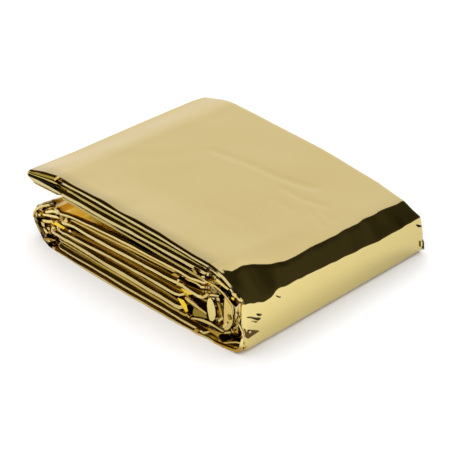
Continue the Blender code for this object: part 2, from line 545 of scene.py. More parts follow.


# The layers' front edges, from the lowest up, at stations along the packet's front, each with its painted
# shade.
EDGE_STATIONS = (4, 12, 20, 30, 40, 50, 60, 70, 80, 90, 100)
EDGES = (
    EdgeLine((-1.6, -1.7, -1.9, -2, -2, -2, -2, -2, -2, -1.9, -1.8), -1.3, 0.55, 0.26),
    EdgeLine((0.6, 0.6, 0.6, 0.6, 0.7, 0.7, 0.7, 0.7, 0.8, 0.8, 0.6), -0.9, 0.42, 0.75),
    EdgeLine((2.9, 2.9, 2.9, 3.2, 3.2, 3.2, 3.1, 2.9, 2.8, 2.5, 2.3), 0.3, 0.35, 0.09, Tone.OLIVE),
    EdgeLine((4.4, 4.4, 4.4, 4.3, 4.3, 4.2, 4, 3.8, 3.7, 3.4, 3.2), -0.2, 0.38, 0.18, Tone.STRAW),
    EdgeLine((6.3, 6.3, 6.3, 6.3, 6.2, 5.9, 5.8, 5.7, 5.4, 5, 4.7), -0.7, 0.68, 0.53),
    EdgeLine((7.9, 7.9, 7.9, 8, 8.3, 8.6, 8.7, 8.6, 8.4, 8, 7.7), 0.6, 0.5, 0.09, Tone.OLIVE),
    EdgeLine((8.9, 8.9, 8.9, 9.1, 9.5, 9.9, 10.1, 10.3, 10.4, 10.3, 10.1), -0.5, 0.52, 0.33),
    EdgeLine((11, 11, 11, 11.2, 11.7, 12.2, 12.4, 12.5, 12.6, 12.6, 12.4), 0.7, 0.52, 0.31, Tone.OLIVE),
    EdgeLine((13.3, 13.3, 13.3, 14.4, 14.2, 14.4, 14.7, 14.9, 15.2, 15.4, 15.6), -0.3, 0.55, 0.44),
    EdgeLine((15, 15, 15, 16, 16.2, 16.7, 17.1, 17.4, 17.5, 17.5, 17.6), 0.9, 0.42, 0.18, Tone.OLIVE),
    EdgeLine((16.2, 16.2, 16.2, 16.8, 17.4, 17.9, 18.4, 18.9, 19.2, 19.5, 19.6), 0.6, 0.36, 0.22, Tone.STRAW),
    EdgeLine((17.3, 17.3, 17.3, 18.1, 18.8, 19.5, 20, 20.4, 20.7, 21, 21), 0, 0.4, 0.55),
    EdgeLine((24.6, 24.6, 24.6, 24.6, 24.4, 24.2, 24, 23.9, 23.7, 23.4, 23.1), 0.7, 0.46, 0.18, Tone.DUSK),
    EdgeLine((26, 25.9, 26, 26, 26, 26, 26, 26, 26, 26, 25.9), 0.5, 0.54, 0.68, Tone.PALE),
    EdgeLine((27.6, 28.5, 29.1, 29, 28.9, 28.8, 28.7, 28.6, 28.6, 28.5, 27.9), 1.5, 0.48, 0.5, Tone.DUSK),
    EdgeLine((28, 29.9, 31.3, 31.4, 31.3, 31.2, 31.1, 30.9, 30.6, 30.1, 29.6), 1.8, 0.4, 0.53, Tone.PALE),
)

# The folds of the crushed ends, in painted shade and painted reflections: the right end's, the left end's and
# the flap tip's.
FOLDS = (
    Fold("103,23.4 108.5,23.6 111,23.1 113,22.3 115,21.1 117.7,19.1 117.2,18.2 115,19.7 113,20.9 "
         "111,21.8 108.5,22.4 103,22.7", 0.2),
    Fold("113,20.9 115,19.7 116.6,18.6 117.2,16 117.3,13 116.9,10.8 115.6,8.5 114,7 113.2,6.4 112.4,8 "
         "112.5,11 112.5,15 112.8,19", 0.8, swing=0.05),
    Fold("105.4,17.2 106.6,16.9 107.6,15.8 108.5,13.5 108.7,11 108.2,9 107.2,7.6 105.8,7.2 105,8.2 "
         "104.4,10.5 104,13 104.3,15.5", 0.8, swing=0.08),
    Fold("101.3,15.3 102.5,15.1 104.3,16.7 105.3,18.3 104.3,18.5 102.9,17.2", 0),
    Fold("92.6,11.3 94,11.8 97,11.5 100,10.7 103.9,10 104,9 100,9.3 97,9.6 94,10 92.8,10.4", 0.2),
    Fold("96.4,14.8 99,15.4 103.6,15.3 104.3,13 104.3,10.1 100,10.7 97,11.5", 2, Tone.BROWN, 0.55),
    Fold("87,12 88.4,15.1 97,15.3 97.6,12.1 92,11.8", 1.8, Tone.GOLD, 0.1, swing=0.1),
    Fold("89,13.3 91,14.4 95,14.8 96.9,14.3 95,13.1 91,12.8", 1.2, Tone.AMBER),
    Fold("92.2,9.8 97.9,9.5 97,7.5 96,6 95,5.8 94.3,7 93.4,8.5", 2.2, Tone.DARK, 0.55),
    Fold("88.6,9.3 92,9.8 93.7,8.2 94.5,5.5 93.6,4.6 91.9,5.6 "
         "90.2,7.4", 0.7, Tone.AMBER, 0.1, swing=0.2),
    Fold("92.8,4.7 95.4,4 94.5,3 93.8,3.8", 0),
    Fold("97.2,8.9 100,9.3 103.7,8.9 104.4,7.3 101,6.5 97.3,5.1 96.5,6.5", 1.2, Tone.OLIVE, 0.1),
    Fold("95.4,3.6 98,5.1 102,6.4 106,6.9 110,6.4 113,6.3 112,5.4 108,5.5 104,5.1 99,4.3 96,3.2", 0.4),
    Fold("98.2,4.2 104,5.1 110.2,5.3 110,4.5 104,4.3 101,3.3 98.4,3.3", 1, Tone.DARK, 0.4),
    Fold("102.6,3.6 108,4.3 112.2,5 110.6,3.5 109.8,2.2 106,2.3 102,2.6", 0.6, Tone.GOLD),
    Fold("110.2,4.6 114.2,5.4 114.3,3.3 112,1.8 110.3,1.9", 2.2, Tone.DARK, 0.5),
    Fold("109.2,16.9 110.6,16.6 112,13.5 112,11.1 110.7,12.4", 1.2, Tone.GOLD),
    Fold("110.2,21.4 112.7,20.9 112.4,17.6 111,17.3 110.1,19", 2, Tone.DARK, 0.5),
    Fold("109.4,9.4 112,12.2 112.4,11.1 110.2,8.5", 0.9),
    Fold("111.8,8.3 114.1,10.9 114.7,10.1 112.5,7.2", 0.4),
    Fold("114.2,13.9 115.6,14.3 116.4,12.6 115,11.9", 0.5, Tone.OLIVE),
    Fold("105,18.5 107,19.3 110.3,20.2 110.1,19.3 107,18.1 105.2,17.5", 0.8),
    Fold("106.3,20.3 108.5,21.7 109.7,20.7 107.5,19.5", 1, Tone.OLIVE),
    Fold("108.5,25.3 108.8,26.8 110.4,26.8 113,25.8 115.4,25.3 114.7,24.2 111.5,24.6", -0.1),
    Fold("109.4,24.6 114.2,24.2 116.1,23.3 115.8,21.8 113.5,22.9 111,23.6", 1.4, Tone.DARK, 0.5),
    Fold("116.2,24.2 118.6,24.9 119.6,23.4 118.2,22.7 116.7,23.1", 0.4, climb=0.15, swing=0.1),
    Fold("116.3,22.4 118.1,22.7 117.6,21.2 116.1,21.2", 0.8, Tone.AMBER),
    Fold("118.4,22.6 120.4,23.9 121,21.6 119.2,20.5", 0.9, Tone.BROWN, 0.3),
    Fold("118.7,19.3 120.6,22 121.1,21.2 119.4,18.7", 0.3),
    Fold("96.3,25.1 98.4,25.4 99.4,24.3 98.4,23.1 97.3,24", -0.4, Tone.GOLD),
    Fold("101.1,24.1 103,25.1 103.5,24.2 101.8,23.7", -0.4),
    Fold("104.8,24 107.4,24.6 108.4,23.9 105.5,23.5", -0.2, Tone.GOLD),
    Fold("88.1,15.5 89,15.4 90.5,17.6 89.3,17.8", -0.9),
    Fold("85.5,18 88,19.4 90.4,19 89.4,17.9 86,17.5", -0.4, Tone.GOLD),
    Fold("109.8,1.8 112,1.1 111.6,0 110.1,0.6", 0),
    Fold("96.9,-1 98.4,1 100.4,0.9 99,-1.1", -1.6, Tone.GOLD),
    Fold("111.5,0.9 115,3 119,5.1 123.3,6.3 123.4,5.3 119,4.1 115,2 112.2,0.4", 0.1),
    Fold("112,0.5 115,2 119,4.1 123.4,5.3 123.2,4.1 119,2.5 114,0.1 112,-0.7", 0.8, Tone.DARK, 0.4),
    Fold("110.5,-0.8 114,0.2 119,2.4 123.1,4.1 122.7,3.3 119,1.6 115,0.1 112,-1", 0.3, Tone.OLIVE),
    Fold("103.8,28.7 108,28.2 112,27.3 116,25.6 115.4,25 112,26.5 108,27.4 "
         "104,27.9", 0.2, Tone.DARK, 0.5),
    Fold("119.7,13.1 120.7,12.9 122.1,10.8 123.4,7.4 123.6,6.1 122.7,6.4 121.7,9.4 120.2,11.7", 0.1),
    Fold("15.5,18.7 10,15.7 6,12.8 4.3,10.6 3.6,8 4.5,7.8 5.3,10 6.7,11.8 10.2,14.5 16,17.8", 0.7),
    Fold("10.2,14.2 16,17.6 16.6,16.8 13,15.1 10.8,13.4", 1, Tone.DARK, 0.5),
    Fold("12.4,14.1 17,16.6 21,17.4 21.8,16.4 18,15.5 13,13.1", 0.3),
    Fold("15.6,14.4 21.6,16.1 22,15.2 18,14 16,13.4", 0.9, Tone.DARK, 0.5),
    Fold("10.7,12.3 15,13.8 20,15.1 22.5,14.7 19,13.4 14,12.1 11,11.3", 0.3),
    Fold("8.4,9.5 12,11.1 15,12.3 17.6,12.1 16.8,11.1 13,10.1 9.4,8.6", 0.9, Tone.BROWN, 0.5),
    Fold("9.5,9.3 13,10.4 16.6,11.7 17.7,10.8 14,9.1 11,8.3", 0.4, climb=0.2),
    Fold("17.5,10.3 19,12.3 22,12.1 25.4,11.8 24,10.5 20,10.1", 0.3, Tone.AMBER),
    Fold("20.4,13.5 24,13.8 27.7,13.3 26,12.2 22,12.4", 0.3, Tone.BROWN, 0.4),
    Fold("22,17.3 23.4,17.6 24.3,15 23,13.7 21.9,14.4", 0.1, Tone.OLIVE),
    Fold("24.1,14.1 26,16.8 27.4,15.6 25.4,13.4", -0.5),
    Fold("27,11.6 28.6,12.4 29.2,11.2 27.6,10.8", -0.6),
    Fold("5.7,8.5 7.4,9.1 8.9,8.3 8.5,7 6.6,7.5", 1, Tone.DARK, 0.5),
    Fold("5.7,9.5 6.3,11.3 7.3,11 7,9.1", 0.5),
    Fold("7.5,10.5 9,11.8 9.6,10.7 8.2,9.7", 0.5),
    Fold("15.7,7.3 16.5,9 18.2,9.4 17.2,7.9", 0.2, Tone.AMBER),
    Fold("12.9,6.8 14.6,7.8 15.4,6.4 13.8,5.9", 0.2),
    Fold("9.1,8 11.5,8.3 11.8,6.3 9.7,6.1", 0.4),
    Fold("12,3 14,4.5 18.6,4.5 17,3.3 15,2.4 12.4,2.1", 0.6, Tone.DARK, 0.5),
    Fold("9.5,0.4 13,2.1 16,3.1 18.7,3.3 17,2 14,0.8 12,-0.3", 0.3, Tone.GOLD),
    Fold("11.8,0.4 14.4,1.8 15.2,1 13,-0.1", 0),
    Fold("13.5,-0.2 18.3,-0.1 18.8,-1.1 16,-1.6 13.7,-1.4", 0, Tone.DARK, 0.5),
    Fold("5.3,6.7 7.5,5.7 9.1,3.2 8,2.1 6.1,4.6", 0.7, Tone.OLIVE),
    Fold("7.9,6.1 10.5,4.7 11.5,2.8 10,1.9 8.3,4.2", 0.7, Tone.BROWN, 0.3),
    Fold("10.5,6 12.7,5.3 13.8,4.4 12,3.5 10.8,4.6", 0.5),
    Fold("3.2,28 8,29.8 14,31.1 19.8,32.1 20.8,31.1 19,30.5 12,29.3 "
         "6,28.2", 0.4, Tone.OLIVE, 0.2, swing=0.08),
    Fold("3.6,28 7,29.2 12,30.3 15,30.6 12,29.6 6,28.3", 0.05, Tone.DARK, 0.3, swing=0.08),
    Fold("19.2,30.9 20.2,30.4 23.4,33.2 22.6,33.9 21.1,33", 1.5, climb=0.35),
    Fold("3.6,27.6 6,28.2 12,29.2 19,30.2 23,29.9 20,29.1 12,28.4 5,27.4", 0.1, Tone.STRAW, swing=0.05),
    Fold("2.9,26.9 5,27.4 12,28.3 20,28.6 20,27 10,26.9 5,26.3 "
         "3.4,26.2", -0.1, Tone.DARK, 0.4, swing=0.02),
    Fold("3.4,26.2 5,26.5 10,26.9 20,26.8 24,26.5 23,25.3 16,25.2 10,24.9 6.4,24.6 "
         "4.6,25.3", -0.3, Tone.PALE, swing=0.02),
    Fold("6.2,24.7 10,25.1 16,25.3 23,25.4 21,24.7 15,24.4 10,24.2 7.2,24.2", -0.3, Tone.OLIVE),
)

# Creases on the right end's wall, as places across and up it, their dark tones painted shade.
WALL_FOLDS = (
    Fold("2.4,15.2 4.6,14.7 6.6,13.4 9.1,12.2 8.9,11.6 7.6,11.5 6,12.7 4.2,14", 0, Tone.DARK),
    Fold("7.6,14.2 9.7,13.4 9.3,12.9 8,13.2", 0, Tone.DARK),
    Fold("4.4,12.8 6.6,12 7.8,11.2 6.4,11.1", 0, Tone.BROWN),
    Fold("0.5,11.3 3.6,9.9 6.4,8.3 8.6,6.8 2.6,6.2 1.3,7.6 0.9,9.4", 0, Tone.BROWN),
    Fold("2.8,9.4 4.1,9.4 4.3,8.3 3.1,8.2", -0.3),
    Fold("17.6,17.3 19.2,16.3 18.8,15.9 17.6,16.6", 0, Tone.DARK),
    Fold("96.5,13.8 98.3,12.9 98.1,12.1 96.7,12.6", -0.1, Tone.DARK),
    Fold("98.2,5.7 99.4,5.3 99.7,3.1 98.5,2.9", -0.2),
    Fold("99.7,6.1 100.7,4.4 101.1,1 100.1,1 99.6,3.8", 0.2, Tone.DARK),
)

# The crumpled film behind the folds, its facets in painted shade and painted reflections: two patches at the
# right end and two at the left.
CRUSHES = (
    Crush("88,2.6 88,15.4 101,15.6 104,21.5 113,23 117.6,18.6 120.8,22.6 121.2,14 122.4,9 122.8,6 "
          "118,4 112,1.4 104,2.2",
          21, 62, 2.2, 1.2, (2.4, 4.8),
          (Tone.BROWN, Tone.DARK, Tone.BROWN, Tone.GOLD, Tone.GOLD, Tone.HONEY)),
    Crush("105.5,23.6 106,26.8 109,27.4 113.5,26 117.6,24.4 121.2,23.4 119.5,18.8 117.2,19.2 113,22.4",
          22, -30, 2, 1.1, (1.2, 3.0),
          (Tone.BROWN, Tone.GOLD, Tone.DARK, Tone.OLIVE, Tone.BARE)),
    Crush("15.5,18.4 10,15.4 6,12.5 4.4,10.4 3.8,8.2 10,6.8 18,7.5 22,9.6 26,10.4 28,13.5 27,17.4 "
          "21,18",
          23, 24, 2.4, 0.95, (0.8, 2.2),
          (Tone.GOLD, Tone.BROWN, Tone.BARE, Tone.HONEY, Tone.AMBER, Tone.GOLD)),
    Crush("3.8,8.4 5,5.8 6.2,4.2 8,1.8 10,0 13.4,-1.2 17.6,-1.6 19.5,0 18.6,4 19,8 10,7.2",
          24, -38, 2, 0.9, (0.8, 2.6),
          (Tone.OLIVE, Tone.BROWN, Tone.HONEY, Tone.GOLD, Tone.BROWN)),
)

# Where the layers' front edges make room for the crushed ends.
RETREATS = (
    Retreat(Region.CORE, (0, 1, 2, 3), 90.5, 93.5, 4.5),
    Retreat(Region.CORE_END, (0, 1, 2, 3), 101.5, 105.0, 4.5),
    Retreat(Region.FLAP, (1, 2, 3), 104.0, 107.0, 3.4),
    Retreat(Region.RIGHT_END, (1, 2, 3), 104.0, 107.0, 3.4),
    Retreat(Region.BOTTOM, (2, 3), 93.0, 98.0, 3.4),
    Retreat(Region.BOTTOM, (1,), 106.0, 110.0, 3.4),
    Retreat(Region.LEFT_END, (1, 2, 3), 26.0, 20.0, 2.6),
    Retreat(Region.LEFT_END, (0,), 26.0, 18.0, 2.2),
    Retreat(Region.UPPER, (1, 2, 3), 26.0, 20.0, 2.6),
    Retreat(Region.BOTTOM, (1, 2, 3), 23.0, 17.0, 2.6),
)


@dataclass
class CrushedEnds:
    """The film's crushed corners at the two ends of the packet's front."""

    roll: Roll
    rim_width: float = 0.19
    rim_depth: float = 0.5
    seed: int = 41
    # how far a bare fold may turn to honey, a painted reflection
    honey_share: float = 0.7
    # how much brighter bare folds are painted, a painted highlight
    glint: float = 1.2
    wall_seen_x: float = 122.0
    wall_x: float = 122.75

    def placed(self, seen: np.ndarray, depth: np.ndarray) -> np.ndarray:
        """Turn places that the camera sees against the packet's front to the roll's points.

        Args:
            seen: The places, as rows of (x, z) on the front's plane.
            depth: How far each one lies behind the packet's front.

        Returns:
            The points in the roll's millimetres.
        """
        y = depth - self.roll.bulge(seen[:, 0] - SEEN_X * depth)
        y = np.minimum(y, (seen[:, 1] - 0.05) / SEEN_Z)
        return np.stack([seen[:, 0] - SEEN_X * y, y, seen[:, 1] - SEEN_Z * y], 1)

    def on_wall(self, seen: np.ndarray, depth: np.ndarray) -> np.ndarray:
        """Turn places that the camera sees against the right end's wall to the roll's points.

        Args:
            seen: The places, as rows of (y, z) on the wall's plane.
            depth: How far each one lies in from the film's outermost place on the wall.

        Returns:
            The points in the roll's millimetres.
        """
        out = self.wall_x - self.wall_seen_x - depth
        return np.stack([self.wall_seen_x + out, seen[:, 0] - out / SEEN_X,
                         seen[:, 1] + out * SEEN_Z / SEEN_X], 1)

    def fold(self, fold: Fold, wall: bool) -> tuple[np.ndarray, list[list[int]]]:
        """One fold's flat face and the rim that curls back round it.

        Args:
            fold: The fold.
            wall: Whether it lies on the right end's wall.

        Returns:
            Its points in the roll's millimetres, and its faces.
        """
        outline = outline_points(fold.outline)
        before, after = np.roll(outline, 1, 0), np.roll(outline, -1, 0)
        turning = np.sum(outline[:, 0] * after[:, 1] - after[:, 0] * outline[:, 1])
        run = unit(outline - before) + unit(after - outline)
        inward = np.stack([-run[:, 1], run[:, 0]], 1)
        inward /= np.maximum(np.linalg.norm(inward, axis=1, keepdims=True), 0.4)
        inner = outline + math.copysign(1.0, turning) * inward * self.rim_width
        middle = outline.mean(0)

        def depth(points: np.ndarray) -> np.ndarray:
            """How deep the fold's plane lies at some seen places."""
            off = points - middle
            return fold.depth + fold.swing * off[:, 0] + fold.climb * off[:, 1]

        count = len(outline)
        put = self.on_wall if wall else self.placed
        flat = put(inner, depth(inner))
        rim = put(outline, depth(outline) + self.rim_depth)
        points = [flat]
        faces = [list(range(count))]
        for place in range(count):
            following = (place + 1) % count
            faces.append([count + 4 * place + step for step in range(4)])
            points.append(np.stack([flat[place], rim[place], rim[following], flat[following]]))
        return np.concatenate(points), faces

    def crush(self, crush: Crush) -> tuple[np.ndarray, list[list[int]], list[np.ndarray]]:
        """One patch of crumpled film, in sharp little facets.

        Args:
            crush: The patch.

        Returns:
            Its points in the roll's millimetres, its faces, and a colour for each point.
        """
        generator = np.random.default_rng(crush.seed)
        outline = outline_points(crush.outline)
        lean = math.radians(crush.lean)
        axes = np.array([[math.cos(lean), math.sin(lean)], [-math.sin(lean), math.cos(lean)]])
        reach = float(np.linalg.norm(outline.max(0) - outline.min(0))) / 2
        middle = (outline.max(0) + outline.min(0)) / 2
        sizes = (crush.along, crush.across)
        grid = np.stack(np.meshgrid(*[np.arange(-reach, reach, size) for size in sizes]), -1)
        grid = grid.reshape(-1, 2)
        grid = middle + (grid + generator.uniform(-0.4, 0.4, grid.shape) * sizes) @ axes
        inside = np.zeros(len(grid), bool)
        for start, end in zip(outline, np.roll(outline, -1, 0)):
            span = end[1] - start[1]
            if abs(span) > 1e-9:
                at = start[0] + (grid[:, 1] - start[1]) * (end[0] - start[0]) / span
                inside ^= ((start[1] > grid[:, 1]) != (end[1] > grid[:, 1])) & (grid[:, 0] < at)
        places = [Vector(place) for place in np.concatenate([outline, grid[inside]])]
        border = [(place, (place + 1) % len(outline)) for place in range(len(outline))]
        flat, _, facets, *_ = geometry.delaunay_2d_cdt(places, border, [], 1, 1e-4)
        flat = np.array([tuple(place) for place in flat])
        solid = self.placed(flat, generator.uniform(*crush.depths, len(flat)))
        # each facet gets painted shade and painted reflection, a tone drawn at random
        tones = [crush.tones[generator.integers(len(crush.tones))] for _ in facets]
        return (np.concatenate([solid[list(facet)] for facet in facets]),
                [[3 * place, 3 * place + 1, 3 * place + 2] for place in range(len(facets))],
                [tone.colour for tone in tones for _ in range(3)])

    def colour(self, fold: Fold, wall: bool, generator: np.random.Generator) -> np.ndarray:
        """A fold's colour: bare folds get a painted highlight, and each turns some way to honey, a painted
        reflection of light caught between layers.

        Args:
            fold: The fold.
            wall: Whether it lies on the right end's wall.
            generator: Draws how far a bare fold turns.

        Returns:
            A linear colour.
        """
        if wall or fold.tone is not Tone.BARE:
            return fold.tone.colour
        share = self.honey_share * generator.uniform()
        return (fold.tone.colour * (1.0 - share) + Tone.HONEY.colour * share) * self.glint

    def build(self) -> tuple[np.ndarray, list[list[int]], np.ndarray]:
        """Everything crushed at the two ends: the crumpled film, and the folds before it.

        Returns:
            Points in the roll's millimetres, faces, and a linear colour for each point.
        """
        generator = np.random.default_rng(self.seed)
        parts = [self.crush(patch) for patch in CRUSHES]
        for wall, folds in ((False, FOLDS), (True, WALL_FOLDS)):
            for fold in folds:
                points, faces = self.fold(fold, wall)
                parts.append((points, faces, [self.colour(fold, wall, generator)] * len(points)))
        all_faces: list[list[int]] = []
        total = 0
        for points, faces, _ in parts:
            all_faces += [[total + corner for corner in face] for face in faces]
            total += len(points)
        LOG.info("crushed ends: %d folds and %d faces", len(FOLDS) + len(WALL_FOLDS),
                 len(all_faces))
        return (np.concatenate([points for points, _, _ in parts]), all_faces,
                np.concatenate([colours for _, _, colours in parts]))


@dataclass
class FoldedFilm:
    """The sheet of film: the strip's outer sleeve, and the plies folded up inside it."""

    roll: Roll
    plies: int = 21
    flat: tuple[float, float] = (2.1, 1.6)
    sleeve_out: float = 0.70
    sleeve_in: float = 0.78
    skin_out: float = 0.625
    inner_half: float = 0.26
    inner_inset: float = 2.6
    inner_shares: tuple[float, ...] = (0.0, 0.3, 0.55, 0.72, 0.84, 0.93, 1.0)
    inner_row_step: int = 4
    shoulder_room: float = 0.35
    flap_spacing: float = 1.4
    run_spacing: float = 2.0
    underside_spacing: float = 3.0
    bend_spacing: float = 0.9
    turn_spacing: float = 0.5
    fine_columns: int = 72
    coarse_columns: int = 15
    under_columns: int = 9
    rise_reach: float = 26.0
    bevel_depth: float = 1.3
    bevel_scale: float = 1.2
    bevel_corner: tuple[float, ...] = (0.0, 0.05, 0.95, 1.0)
    plain_rises: tuple[float, ...] = (0.0, 0.02, 0.06, 0.10)
    plain_depths: tuple[float, ...] = (0.0, 0.04, 0.20, 0.34)
    face_share: float = 0.82
    edge_reach: float = 3.5
    fine_crowding: float = 1.25
    coarse_crowding: float = 1.7
    crushed_core: tuple[float, float] = (13.5, 4.5)
    gap_shade: tuple[float, float, float] = (0.80, 0.56, 0.22)
    # the heel's painted shade: rows of the outer pass past this x and under this height
    heel: tuple[float, float] = (109.0, 4.0)
    # painted light on the right end's wall: ramped in over wall_start along x, from wall_light's first
    # brightness at the front to its second at the back
    wall_start: tuple[float, float] = (106.0, 111.0)
    wall_light: tuple[float, float] = (1.15, 0.88)
    # painted reflection of light caught in the wedge under the flap: amber from wedge_start along x, turning
    # to olive painted shade over wedge_depth
    wedge_start: tuple[float, float] = (19.5, 23.5)
    wedge_depth: tuple[float, float] = (34.0, 48.0)
    crumple: tuple = ((0.0, 0.9), (14.0, 1.0), (24.0, 0.5), (30.0, 0.0), (86.0, 0.0),
                      (96.0, 0.9), (112.0, 1.0), (122.0, 0.8))
    floor_gap: float = 0.02

    def spacing(self, layer: int, region: Region) -> float:
        """How far apart the rows are along one stretch of one pass.

        Args:
            layer: The pass, 0 for the outermost.
            region: The stretch.

        Returns:
            The distance in millimetres.
        """
        if region is Region.TURN:
            return self.turn_spacing
        if region not in STRAIGHT:
            return self.bend_spacing
        outermost = {Region.FLAP: self.flap_spacing, Region.BOTTOM: self.underside_spacing}
        return outermost.get(region, self.run_spacing) if layer == 0 else self.run_spacing

    @staticmethod
    def resample(line: np.ndarray, spacing: float) -> np.ndarray:
        """Points an even distance apart along each line, the same number on each.

        Args:
            line: Dense lines, backs by steps by (x, z).
            spacing: The wanted distance between points.

        Returns:
            Even lines, backs by points by (x, z).
        """
        reach = np.array([distances(points) for points in line])
        even = np.linspace(0.0, 1.0, max(2, math.ceil(reach[:, -1].mean() / spacing) + 1))
        return np.stack([
            np.stack([np.interp(even * far[-1], far, points[:, axis]) for axis in (0, 1)], 1)
            for far, points in zip(reach, line)])

    def rows(self) -> Rows:
        """Cut the whole strip's path into rows, pass after pass.

        Returns:
            The rows, from the flap's free end on the outermost pass to the innermost one's.
        """
        roll = self.roll
        pieces: list[tuple[int, Region, np.ndarray]] = []
        for layer in range(len(roll.flap_ends)):
            stretch = [(Region.FLAP, roll.run_line(roll.runs[0], layer))]
            for bend, run in zip(roll.bends, roll.runs[1:]):
                following = roll.run_line(run, layer)
                curve = roll.bend_line(bend, layer, stretch[-1][1][:, -1], following[:, 0])
                stretch += [(bend.region, curve), (run.region, following)]
            if layer % 2:
                stretch = [(region, line[:, ::-1]) for region, line in reversed(stretch)]
            if pieces:
                turn = roll.turn_line(pieces[-1][2][:, -1], stretch[0][1][:, 0])
                pieces.append((layer, Region.TURN, turn))
            pieces += [(layer, region, line) for region, line in stretch]
        lines, layers, regions = [], [], []
        for layer, region, line in pieces:
            shoulder = layer == 0 and region is Region.RIGHT_END
            even = line if shoulder else self.resample(line, self.spacing(layer, region))
            lines.append(even[:, 1:] if lines else even)
            layers += [layer] * lines[-1].shape[1]
            regions += [region.value] * lines[-1].shape[1]
        line = np.concatenate(lines, 1).transpose(1, 0, 2)
        tangent = unit(np.gradient(line, axis=0))
        normal = np.stack([-tangent[:, :, 1], tangent[:, :, 0]], 2)
        return Rows(line, normal, np.array(layers), np.array(regions),
                    distances(line[:, len(roll.backs) // 2]))

    def edge_shape(self, rows: Rows) -> dict[str, np.ndarray]:
        """Where each row's folded front edge lies, and how it is shaped.

        Args:
            rows: The strip's rows.

        Returns:
            The edge's place across the strip ("front"), its rise off the settled layer, half its
            face's height, its bevel's height, and how far its middle is off the strip's ("nose").
        """
        x, z = rows.line[:, 0].T
        level = self.roll.level(z)
        known = np.where(rows.lie_in(*STRAIGHT))[0]
        near_tip = eased(((4.0, 0.1), (20.0, 1.0)), x)
        shape = np.zeros((len(known), 4))
        for place, row in enumerate(known):
            line = EDGES[int(round(level[row]))]
            front = line.front * (near_tip[row] if line.front > 0 else 1.0)
            height = z[row:row + 1]
            settled = self.roll.settle(x[row:row + 1], np.array([front]), height, height)[0]
            seen = np.interp(settled[0] + SEEN_X * settled[1], EDGE_STATIONS, line.seen)
            shape[place] = (front, seen - SEEN_Z * settled[1] - settled[2], line.half,
                            line.bevel * self.bevel_scale)
        far = rows.distance
        front, rise, half, bevel = [np.interp(far, far[known], column) for column in shape.T]
        crumple = eased(self.crumple, x) * (level < 11.6) * np.clip(0.25 + level / 3.0, 0.0, 1.0)
        front += (0.10 + 0.8 * crumple) * kinks(3, far, 3.7) + 0.14 * wander(4, far, 19.0)
        rise += (0.04 + 0.55 * crumple) * kinks(5, far, 3.3)
        half *= 1.0 + 0.16 * wander(6, far, 12.0) + 0.10 * kinks(11, far, 4.0)
        bevel *= 1.0 + 0.25 * wander(7, far, 9.0) + 0.35 * crumple * kinks(8, far, 3.1)
        nose = 0.05 * wander(9, far, 11.0) + 0.25 * crumple * kinks(10, far, 2.9)
        top = rows.lie_in(Region.FLAP, Region.RIGHT_END, layers=(0,))
        drop = (half + bevel - self.skin_out) * top * np.clip(rows.normal[:, 0, 1], 0.0, 1.0)
        return {"front": front + self.retreat(rows), "rise": rise + drop, "half": half,
                "bevel": bevel, "nose": nose - drop}

    def retreat(self, rows: Rows) -> np.ndarray:
        """How far each row's front edge hides behind the crushed folds of the packet's ends.

        Args:
            rows: The strip's rows.

        Returns:
            The distance back for each row.
        """
        x, z = rows.line[:, 0].T
        top, depth = self.crushed_core
        back = np.where(rows.lie_in(Region.CORE_END) & (z < top), depth, 0.0)
        for step in RETREATS:
            picked = rows.lie_in(step.region, layers=step.layers)
            hidden = step.depth * smooth(ramp(x, step.start, step.end))
            back = np.maximum(back, np.where(picked, hidden, 0.0))
        return back

    def back_fold(self, height: float) -> np.ndarray:
        """Half the strip's back edge: a small fold from the middle line out to a height.

        Args:
            height: The height off the middle line.

        Returns:
            Points as rows of (y, height off the middle line).
        """
        angle = np.linspace(0.0, np.pi, 6)
        radius = 0.45 * height
        return np.stack([self.roll.width - 0.2 - radius * (1.0 - np.sin(angle)),
                         height - radius * (1.0 + np.cos(angle))], 1)

    def sleeve_row(self, row: int, rows: Rows, edge: dict[str, np.ndarray]) -> np.ndarray:
        """The sleeve's cross-section at one row.

        Args:
            row: The row's number.
            rows: The strip's rows.
            edge: The shape of its front edge.

        Returns:
            Points as rows of (y, height off the middle line, share of the shade between layers).
        """
        outer, region = rows.layer[row] == 0, Region(rows.region[row])
        fine = outer and region in (Region.FLAP, Region.RIGHT_END)
        outer_bend = outer and region in (Region.RIGHT_END, Region.LEFT_END)
        upright = rows.normal[row, 0, 1] > 0.0
        front, nose, half, bevel = [edge[name][row] for name in ("front", "nose", "half", "bevel")]
        corner = np.array(self.bevel_corner)
        bevelled = (corner * self.bevel_depth * bevel, nose + half + corner * bevel)
        plain = (np.array(self.plain_depths), nose - half - np.array(self.plain_rises))
        above, under, centre = bevelled, plain, nose
        if not upright:
            above, under, centre = (plain[0], -plain[1]), (bevelled[0], -bevelled[1]), -nose
        face = [centre + self.face_share * (rises[0] - centre) for _, rises in (above, under)]
        nose_top = np.stack([front + np.array([0.0, 0.0, *above[0]]),
                             np.array([centre, face[0], *above[1]])], 1)[::-1]
        nose_under = np.stack([front + np.array([0.0, *under[0]]),
                               np.array([face[1], *under[1]])], 1)
        top = self.skin_out if outer else self.sleeve_out
        back_upper = self.back_fold(top)
        back_lower = self.back_fold(self.sleeve_in)[::-1] * (1.0, -1.0)
        columns, crowding = ((self.fine_columns, self.fine_crowding) if fine
                             else (self.coarse_columns, self.coarse_crowding))
        top_points = self.flank(nose_top[0], back_upper[-1, 0], columns, crowding, top)[::-1]
        under_points = self.flank(nose_under[-1], back_lower[0, 0], self.under_columns,
                                  self.coarse_crowding, -self.sleeve_in)

        pieces = [back_upper, top_points, nose_top, nose_under, under_points, back_lower]
        shade = [np.zeros(len(piece)) for piece in pieces]
        if not fine and not outer_bend:
            shade[1][-3:] = shade[4][:3] = 1.0
        if not outer_bend and upright:
            shade[2][:3 if fine else 4] = 1.0
        elif not outer_bend:
            shade[3][-4:] = 1.0
        return np.column_stack([np.concatenate(pieces), np.concatenate(shade)])

